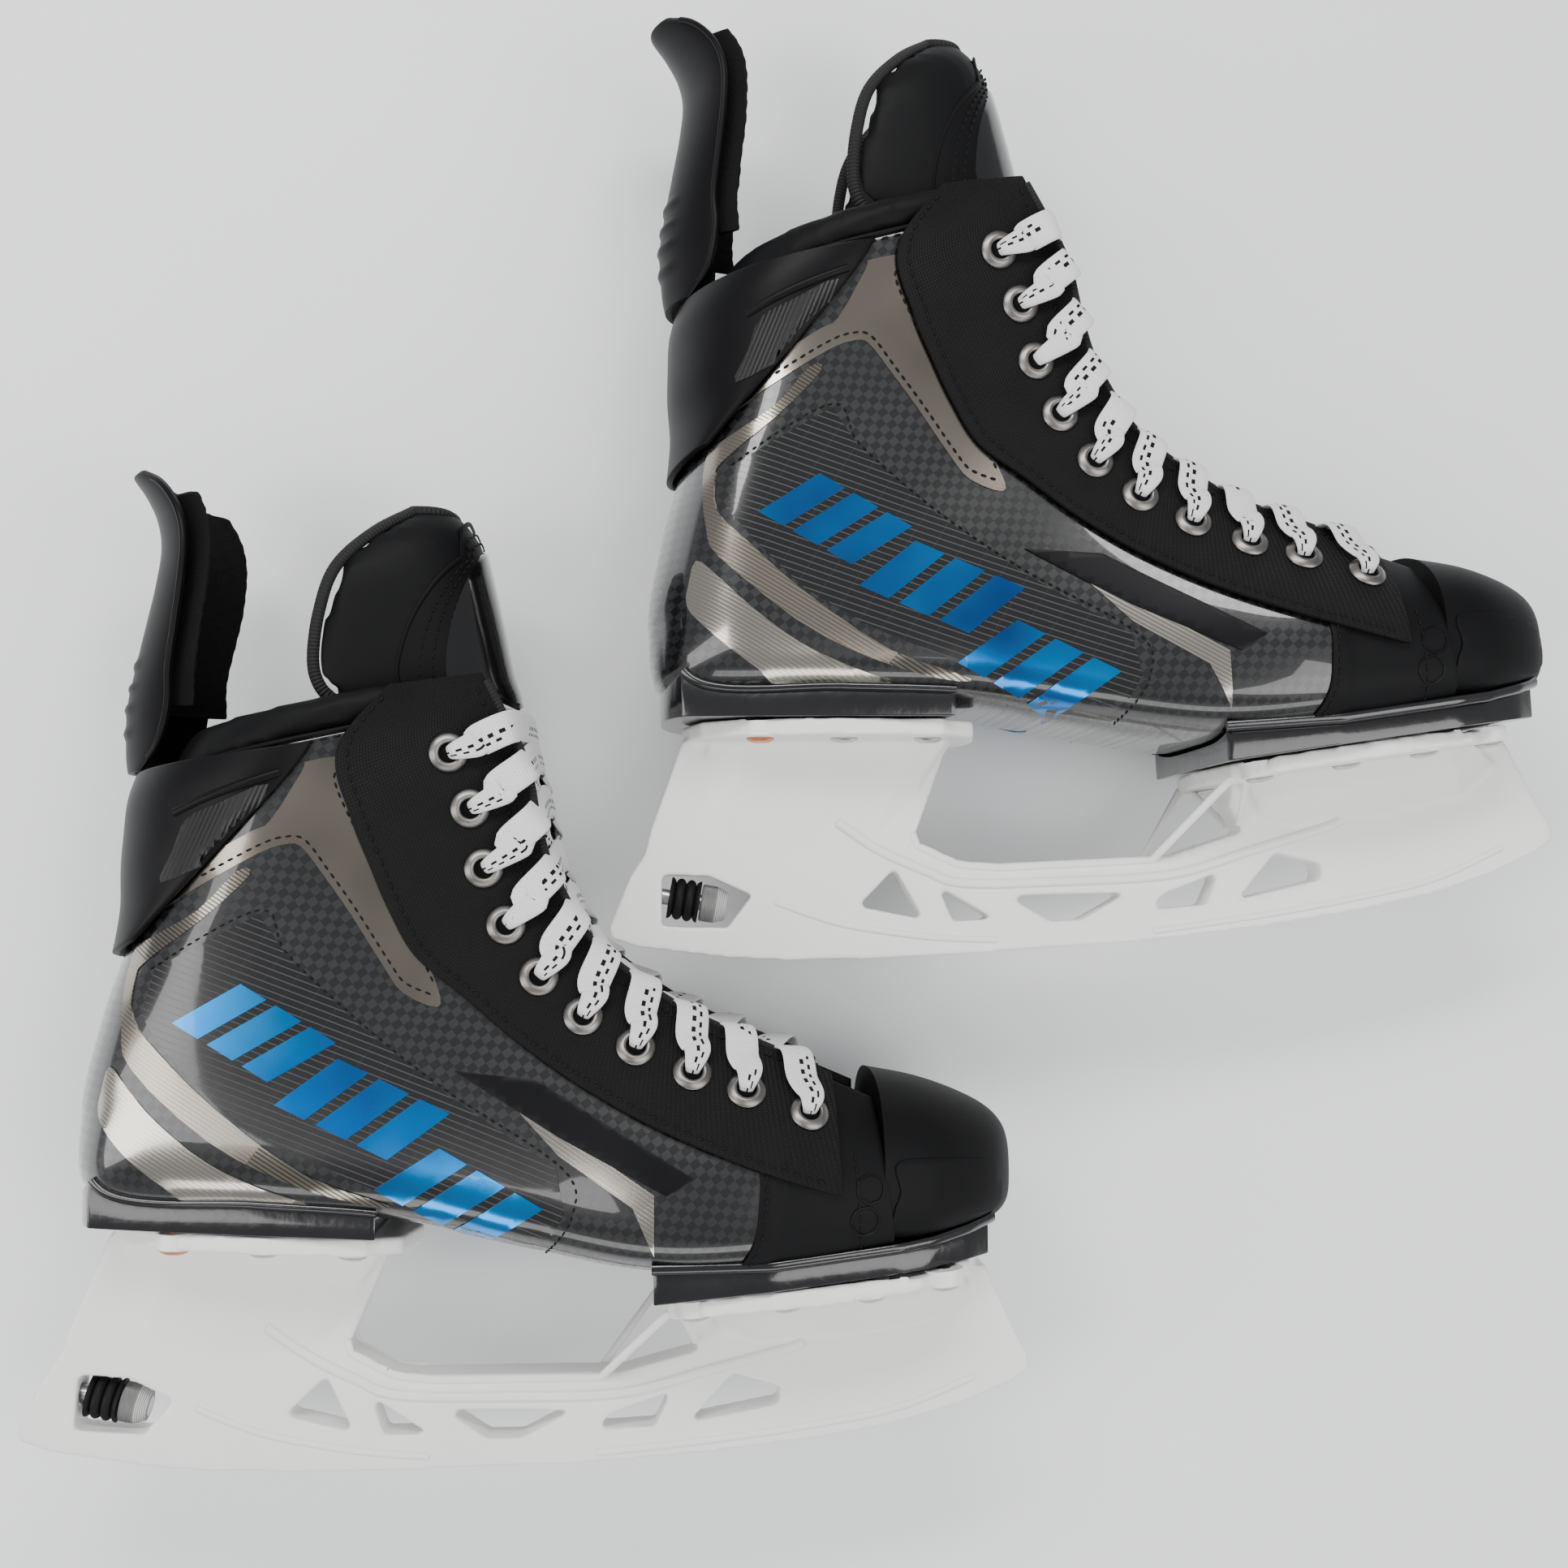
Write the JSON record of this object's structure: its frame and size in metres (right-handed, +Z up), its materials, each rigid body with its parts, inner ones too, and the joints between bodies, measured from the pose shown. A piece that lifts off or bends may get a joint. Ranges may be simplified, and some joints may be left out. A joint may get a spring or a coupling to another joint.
{
  "type": "pair of ice skates",
  "caption": "Pair of laced ice skate boots with stiff composite shells and moulded blade holders, lying on their sides; the steel runners are not fitted.",
  "frame": {"origin": "middle of the pair, at the level of the table it lies on", "axes": "+X towards the toes, +Y from the runner slots up to the cuffs, +Z up from the table"},
  "size_m": [0.4643, 0.4409, 0.1021],
  "materials": {
    "carbon": "clear-coated carbon composite",
    "matte_black": "matte moulded, synthetic leather grain",
    "gloss_black": "glossy moulded",
    "nylon": "woven ballistic nylon",
    "felt": "needled felt",
    "white": "warm white moulded, satin",
    "lace": "flat woven, waxed",
    "nickel": "dark nickel plate",
    "steel": "bright steel",
    "copper": "bare copper",
    "rubber": "ribbed black rubber"
  },
  "bodies": {
    "boots_and_holders": {"right_shell": "carbon", "right_liner": "felt", "right_cuff": "matte_black", "right_toe_wrap": "matte_black", "right_toe_cap": "matte_black", "right_upper_eyestay": "nylon", "right_lower_eyestay": "nylon", "right_upper_eyelets": "nickel", "right_lower_eyelets": "nickel", "right_tongue": "matte_black", "right_guard_base": "matte_black", "right_heel_outsole": "gloss_black", "right_front_outsole": "gloss_black", "right_footbed": "felt", "right_lace": "lace", "right_holder": "white", "right_rear_rivets": "steel", "right_copper_rivets": "copper", "right_front_rivets": "steel", "right_lock_sleeve": "rubber", "left_shell": "carbon", "left_liner": "felt", "left_cuff": "matte_black", "left_toe_wrap": "matte_black", "left_toe_cap": "matte_black", "left_upper_eyestay": "nylon", "left_lower_eyestay": "nylon", "left_upper_eyelets": "nickel", "left_lower_eyelets": "nickel", "left_tongue": "matte_black", "left_guard_base": "matte_black", "left_heel_outsole": "gloss_black", "left_front_outsole": "gloss_black", "left_footbed": "felt", "left_lace": "lace", "left_holder": "white", "left_rear_rivets": "steel", "left_copper_rivets": "copper", "left_front_rivets": "steel", "left_lock_sleeve": "rubber"},
    "right_tongue_flap": {"right_tongue_top": "matte_black", "right_tongue_plate": "gloss_black"},
    "right_guard": {"right_tendon_guard": "matte_black", "right_guard_felt": "felt"},
    "right_screw": {"right_lock_screw": "steel"},
    "right_barrel": {"right_lock_barrel": "steel"},
    "left_tongue_flap": {"left_tongue_top": "matte_black", "left_tongue_plate": "gloss_black"},
    "left_guard": {"left_tendon_guard": "matte_black", "left_guard_felt": "felt"},
    "left_screw": {"left_lock_screw": "steel"},
    "left_barrel": {"left_lock_barrel": "steel"}
  },
  "joints": [
    {"name": "right_tongue_fold", "type": "hinge", "parent": "boots_and_holders", "child": "right_tongue_flap", "pos_m": [-0.08932, 0.00145, 0.05263], "axis": [0, 0, 1], "range_deg": [-35, 2], "stiffness_Nm_per_rad": 0.3},
    {"name": "right_guard_flex", "type": "hinge", "parent": "boots_and_holders", "child": "right_guard", "pos_m": [-0.20832, -0.01755, 0.05263], "axis": [0, 0, 1], "range_deg": [-2, 20], "stiffness_Nm_per_rad": 1.5},
    {"name": "right_screw_turn", "type": "hinge", "parent": "boots_and_holders", "child": "right_screw", "pos_m": [-0.20882, -0.20035, 0.05263], "axis": [0.9781, -0.208, 0], "range_deg": [0, 560]},
    {"name": "right_barrel_travel", "type": "slide", "parent": "boots_and_holders", "child": "right_barrel", "axis": [0.9781, -0.208, 0], "range_m": [0, 0.00194]},
    {"name": "left_tongue_fold", "type": "hinge", "parent": "boots_and_holders", "child": "left_tongue_flap", "pos_m": [0.06927, 0.15306, 0.04946], "axis": [0, 0, 1], "range_deg": [-35, 2], "stiffness_Nm_per_rad": 0.3},
    {"name": "left_guard_flex", "type": "hinge", "parent": "boots_and_holders", "child": "left_guard", "pos_m": [-0.04862, 0.12807, 0.04946], "axis": [0, 0, 1], "range_deg": [-2, 20], "stiffness_Nm_per_rad": 1.5},
    {"name": "left_screw_turn", "type": "hinge", "parent": "boots_and_holders", "child": "left_screw", "pos_m": [-0.03987, -0.05452, 0.04946], "axis": [0.9874, -0.1583, 0], "range_deg": [0, 560]},
    {"name": "left_barrel_travel", "type": "slide", "parent": "boots_and_holders", "child": "left_barrel", "axis": [0.9874, -0.1583, 0], "range_m": [0, 0.00194]}
  ],
  "couplings": [
    {"joint": "right_screw_turn", "follows": "right_barrel_travel", "rad_per_m": 5026.5},
    {"joint": "left_screw_turn", "follows": "left_barrel_travel", "rad_per_m": 5026.5}
  ]
}
